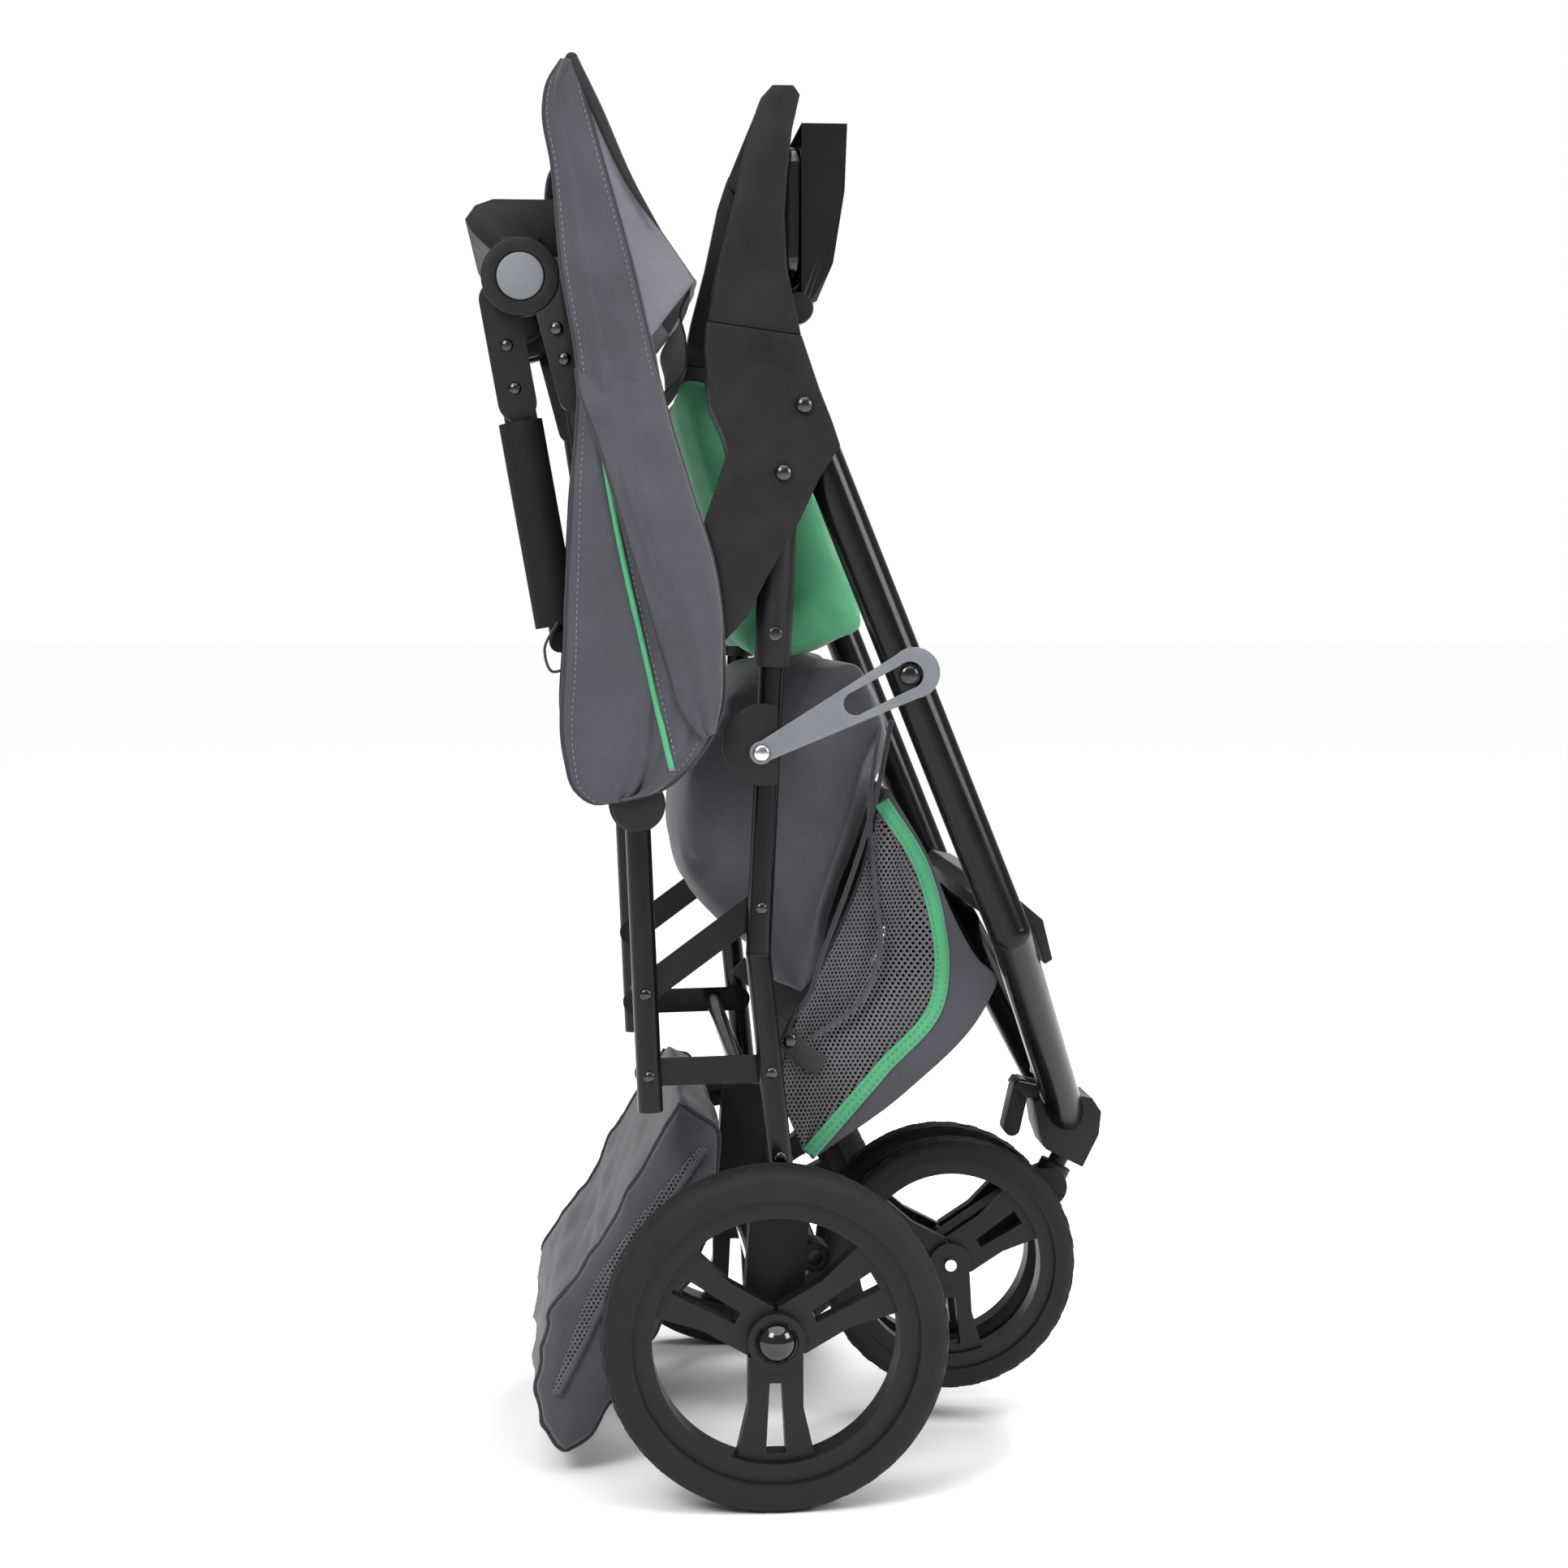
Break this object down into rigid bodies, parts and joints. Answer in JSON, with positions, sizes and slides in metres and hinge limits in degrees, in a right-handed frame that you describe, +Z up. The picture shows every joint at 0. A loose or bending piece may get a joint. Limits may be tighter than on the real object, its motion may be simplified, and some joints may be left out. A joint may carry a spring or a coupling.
{
  "type": "jogging stroller",
  "caption": "Three-wheel jogging stroller folded for storage: tube frame, twin swivel front wheels, handle with cup tray, child tray, grab bar, canopy, padded seat and basket.",
  "frame": {"origin": "centre of the footprint of the folded stroller's bounding box, on the floor", "axes": "+X the side of the front wheels, +Z up, +Y the stroller's left"},
  "size_m": [0.535, 0.5624, 1.118],
  "materials": {
    "black_plastic": "fine textured",
    "black_frame": "satin powder coat",
    "gloss_black": "glossy",
    "grey_plastic": "smooth",
    "steel": "bright",
    "tyre": "matt",
    "foam": "closed-cell foam",
    "grip_rubber": "matt",
    "grey_fabric": "woven",
    "green_fabric": "woven",
    "mesh_fabric": "open mesh"
  },
  "bodies": {
    "seat_frame": {"handle_arms": "black_plastic", "handle_grip": "grip_rubber", "shoulder_bracket_right": "black_plastic", "shoulder_bracket_left": "black_plastic", "rear_leg_right": "black_frame", "rear_leg_left": "black_frame", "leg_sockets": "black_plastic", "axle_feet": "black_plastic", "rear_axle": "steel", "side_tubes": "black_frame", "hip_hubs": "black_plastic", "seat_tubes": "black_frame", "upper_braces": "black_frame", "lower_braces": "black_frame", "cross_tube": "black_frame", "shoulder_pins": "steel", "frame_rivets": "steel", "latch_flange": "black_plastic", "tray_posts": "black_plastic", "arm_hubs": "black_plastic", "seat_back": "green_fabric", "seat_pad": "grey_fabric", "basket": "mesh_fabric", "basket_floor": "grey_fabric", "canopy_cover": "grey_fabric"},
    "front_frame": {"front_tube_right": "black_frame", "front_tube_left": "black_frame", "front_head": "black_plastic", "footrest": "black_plastic", "footrest_bar": "black_frame", "latch_post": "black_plastic"},
    "swivel_paddle": {"swivel_lock": "black_plastic"},
    "front_fork": {"front_fork": "black_plastic", "front_axle": "steel"},
    "front_wheel_right": {"front_tyre_right": "tyre", "front_rim_right": "black_plastic"},
    "front_wheel_left": {"front_tyre_left": "tyre", "front_rim_left": "black_plastic"},
    "rear_wheel_right": {"rear_tyre_right": "tyre", "rear_rim_right": "black_plastic", "hub_cap_right": "gloss_black"},
    "rear_wheel_left": {"rear_tyre_left": "tyre", "rear_rim_left": "black_plastic", "hub_cap_left": "gloss_black"},
    "storage_latch": {"fold_latch": "grey_plastic"},
    "child_tray": {"child_tray": "black_plastic"},
    "grab_bar": {"grab_bar": "black_plastic", "grab_bar_foam": "foam"},
    "hub_button_right": {"release_button_right": "grey_plastic"},
    "hub_button_left": {"release_button_left": "grey_plastic"},
    "canopy_bow": {"canopy_bow": "black_plastic"},
    "parent_tray": {"parent_tray": "gloss_black"},
    "tray_lid": {"tray_lid": "gloss_black"},
    "brake": {"brake_bar": "black_frame"}
  },
  "joints": [
    {"name": "front_frame_fold", "type": "hinge", "parent": "seat_frame", "child": "front_frame", "pos_m": [-0.0075, 0, 0.857], "axis": [0, -1, 0], "range_deg": [0, 27]},
    {"name": "rear_wheel_right_spin", "type": "hinge", "parent": "seat_frame", "child": "rear_wheel_right", "pos_m": [-0.0315, 0, 0.135], "axis": [0, 1, 0], "continuous": true},
    {"name": "rear_wheel_left_spin", "type": "hinge", "parent": "seat_frame", "child": "rear_wheel_left", "pos_m": [-0.0315, 0, 0.135], "axis": [0, 1, 0], "continuous": true},
    {"name": "fork_swivel", "type": "hinge", "parent": "front_frame", "child": "front_fork", "pos_m": [0.2475, 0, 0.245], "axis": [-0.458, 0, -0.889], "continuous": true},
    {"name": "front_wheel_right_spin", "type": "hinge", "parent": "front_fork", "child": "front_wheel_right", "pos_m": [0.1345, 0, 0.14], "axis": [0, 1, 0], "continuous": true},
    {"name": "front_wheel_left_spin", "type": "hinge", "parent": "front_fork", "child": "front_wheel_left", "pos_m": [0.1345, 0, 0.14], "axis": [0, 1, 0], "continuous": true},
    {"name": "swivel_paddle_tilt", "type": "hinge", "parent": "front_frame", "child": "swivel_paddle", "pos_m": [0.2005, 0, 0.287], "axis": [0, 1, 0], "range_deg": [0, 40]},
    {"name": "storage_latch_turn", "type": "hinge", "parent": "seat_frame", "child": "storage_latch", "pos_m": [-0.0405, 0, 0.589], "axis": [0, -1, 0], "range_deg": [0, 45]},
    {"name": "child_tray_turn", "type": "hinge", "parent": "seat_frame", "child": "child_tray", "pos_m": [-0.2245, 0, 0.954], "axis": [0, -1, 0], "range_deg": [0, 90]},
    {"name": "grab_bar_turn", "type": "hinge", "parent": "seat_frame", "child": "grab_bar", "pos_m": [-0.2245, 0, 0.954], "axis": [0, 1, 0], "range_deg": [0, 75]},
    {"name": "hub_button_right_press", "type": "slide", "parent": "seat_frame", "child": "hub_button_right", "axis": [0, 1, 0], "range_m": [0, 0.0025], "stiffness_N_per_m": 400, "springref_m": -0.002},
    {"name": "hub_button_left_press", "type": "slide", "parent": "seat_frame", "child": "hub_button_left", "axis": [0, -1, 0], "range_m": [0, 0.0025], "stiffness_N_per_m": 400, "springref_m": -0.002},
    {"name": "canopy_bow_turn", "type": "hinge", "parent": "seat_frame", "child": "canopy_bow", "pos_m": [-0.1365, 0, 0.549], "axis": [0, -1, 0], "range_deg": [0, 80]},
    {"name": "parent_tray_fold", "type": "hinge", "parent": "seat_frame", "child": "parent_tray", "pos_m": [-0.0095, 0, 0.934], "axis": [0, 1, 0], "range_deg": [0, 50]},
    {"name": "tray_lid_open", "type": "hinge", "parent": "parent_tray", "child": "tray_lid", "pos_m": [-0.0029, 0, 0.97], "axis": [0, -1, 0], "range_deg": [0, 55]},
    {"name": "brake_press", "type": "hinge", "parent": "seat_frame", "child": "brake", "pos_m": [0.0025, 0, 0.19], "axis": [0, 1, 0], "range_deg": [0, 20]}
  ]
}
